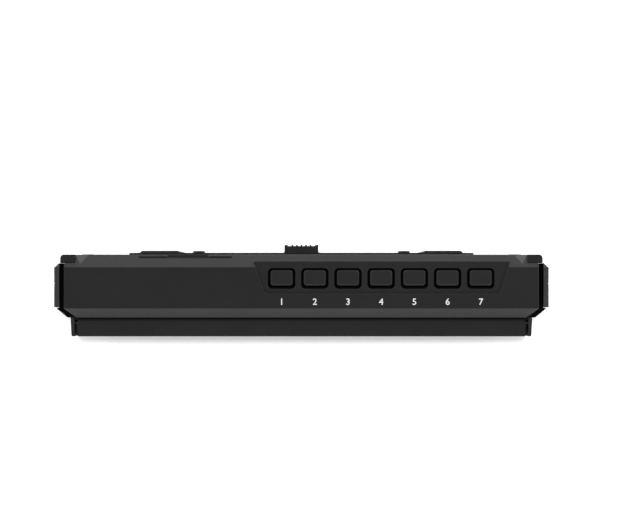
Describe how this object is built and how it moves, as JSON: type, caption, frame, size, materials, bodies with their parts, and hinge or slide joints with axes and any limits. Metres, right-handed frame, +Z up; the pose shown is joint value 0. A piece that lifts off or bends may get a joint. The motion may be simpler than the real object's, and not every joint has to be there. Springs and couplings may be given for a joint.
{
  "type": "camera field monitor",
  "caption": "Small camera monitor with a closed fold-out sun hood over its screen, keys along the top edge, sockets below and a battery plate on the back.",
  "frame": {"origin": "middle of the box's bottom face; the monitor stands on its bottom edge", "axes": "+X to the right seen from the screen, +Y from the screen to the back, +Z up"},
  "size_m": [0.155, 0.0288, 0.091],
  "materials": {
    "case_plastic": "fine moulded grain, satin black",
    "cap_plastic": "satin black",
    "spacer_rubber": "deep matt black",
    "pad_rubber": "matt black rubber",
    "cover_glass": "dark coated glass",
    "display": "dark display, switched off",
    "backlight": "white diffuser",
    "frame_metal": "stamped sheet",
    "circuit_board": "green board",
    "chip_plastic": "moulded black",
    "ribbon": "amber film",
    "switch_metal": "plated",
    "key_plastic": "satin black",
    "socket_metal": "plated",
    "tongue_plastic": "grey",
    "insert_metal": "turned steel",
    "contact_metal": "gold plated",
    "screw_metal": "black zinc",
    "hinge_metal": "drawn wire",
    "latch_plastic": "black",
    "hood_plastic": "fine moulded grain, satin black"
  },
  "bodies": {
    "case": {"front_bezel": "case_plastic", "rear_shell": "case_plastic", "left_side_spacer": "spacer_rubber", "right_side_spacer": "spacer_rubber", "left_side_cap": "cap_plastic", "right_side_cap": "cap_plastic", "corner_feet": "pad_rubber", "cover_glass": "cover_glass", "display_panel": "display", "backlight_unit": "backlight", "chassis_plate": "frame_metal", "main_board": "circuit_board", "board_screws": "screw_metal", "board_chips": "chip_plastic", "display_ribbon": "ribbon", "key_board": "circuit_board", "key_switches": "switch_metal", "outlet_body": "chip_plastic", "outlet_pin": "socket_metal", "headphone_socket": "chip_plastic", "charging_shell": "socket_metal", "charging_tongue": "tongue_plastic", "video_input_socket": "socket_metal", "video_output_socket": "socket_metal", "left_thread_insert": "insert_metal", "right_thread_insert": "insert_metal", "battery_plate": "case_plastic", "plate_screws": "screw_metal", "rubber_pads": "pad_rubber", "contact_block": "chip_plastic", "contact_blades": "contact_metal", "release_spring": "hinge_metal", "case_screws": "screw_metal", "hood_frame": "hood_plastic", "visor_pins": "hinge_metal", "wing_pins": "hinge_metal"},
    "left_key": {"left_key": "key_plastic"},
    "right_key": {"right_key": "key_plastic"},
    "menu_key": {"menu_key": "key_plastic"},
    "first_function_key": {"first_function_key": "key_plastic"},
    "second_function_key": {"second_function_key": "key_plastic"},
    "third_function_key": {"third_function_key": "key_plastic"},
    "power_key": {"power_key": "key_plastic"},
    "release_slide": {"release_slide": "latch_plastic"},
    "battery_catch": {"battery_catch": "latch_plastic"},
    "visor": {"visor": "hood_plastic"},
    "left_wing": {"left_wing": "hood_plastic"},
    "right_wing": {"right_wing": "hood_plastic"}
  },
  "joints": [
    {"name": "left_key_press", "type": "slide", "parent": "case", "child": "left_key", "axis": [0, 0, -1], "range_m": [0, 0.00035], "stiffness_N_per_m": 800, "springref_m": -0.0004},
    {"name": "right_key_press", "type": "slide", "parent": "case", "child": "right_key", "axis": [0, 0, -1], "range_m": [0, 0.00035], "stiffness_N_per_m": 800, "springref_m": -0.0004},
    {"name": "menu_key_press", "type": "slide", "parent": "case", "child": "menu_key", "axis": [0, 0, -1], "range_m": [0, 0.00035], "stiffness_N_per_m": 800, "springref_m": -0.0004},
    {"name": "first_function_key_press", "type": "slide", "parent": "case", "child": "first_function_key", "axis": [0, 0, -1], "range_m": [0, 0.00035], "stiffness_N_per_m": 800, "springref_m": -0.0004},
    {"name": "second_function_key_press", "type": "slide", "parent": "case", "child": "second_function_key", "axis": [0, 0, -1], "range_m": [0, 0.00035], "stiffness_N_per_m": 800, "springref_m": -0.0004},
    {"name": "third_function_key_press", "type": "slide", "parent": "case", "child": "third_function_key", "axis": [0, 0, -1], "range_m": [0, 0.00035], "stiffness_N_per_m": 800, "springref_m": -0.0004},
    {"name": "power_key_press", "type": "slide", "parent": "case", "child": "power_key", "axis": [0, 0, -1], "range_m": [0, 0.00035], "stiffness_N_per_m": 800, "springref_m": -0.0004},
    {"name": "release_slide_push", "type": "slide", "parent": "case", "child": "release_slide", "axis": [1, 0, 0], "range_m": [0, 0.0024], "stiffness_N_per_m": 600, "springref_m": -0.001},
    {"name": "battery_catch_draw", "type": "slide", "parent": "case", "child": "battery_catch", "axis": [0, -1, 0], "range_m": [0, 0.0012]},
    {"name": "visor_hinge", "type": "hinge", "parent": "case", "child": "visor", "pos_m": [0, -0.00978, 0.0859], "axis": [-1, 0, 0], "range_deg": [0, 90]},
    {"name": "left_wing_hinge", "type": "hinge", "parent": "case", "child": "left_wing", "pos_m": [-0.0619, -0.01117, 0.0455], "axis": [0, 0, -1], "range_deg": [0, 90]},
    {"name": "right_wing_hinge", "type": "hinge", "parent": "case", "child": "right_wing", "pos_m": [0.0619, -0.01117, 0.0455], "axis": [0, 0, 1], "range_deg": [0, 90]}
  ],
  "couplings": [
    {"joint": "left_wing_hinge", "follows": "visor_hinge", "ratio": 1},
    {"joint": "right_wing_hinge", "follows": "visor_hinge", "ratio": 1},
    {"joint": "battery_catch_draw", "follows": "release_slide_push", "ratio": 0.5}
  ]
}
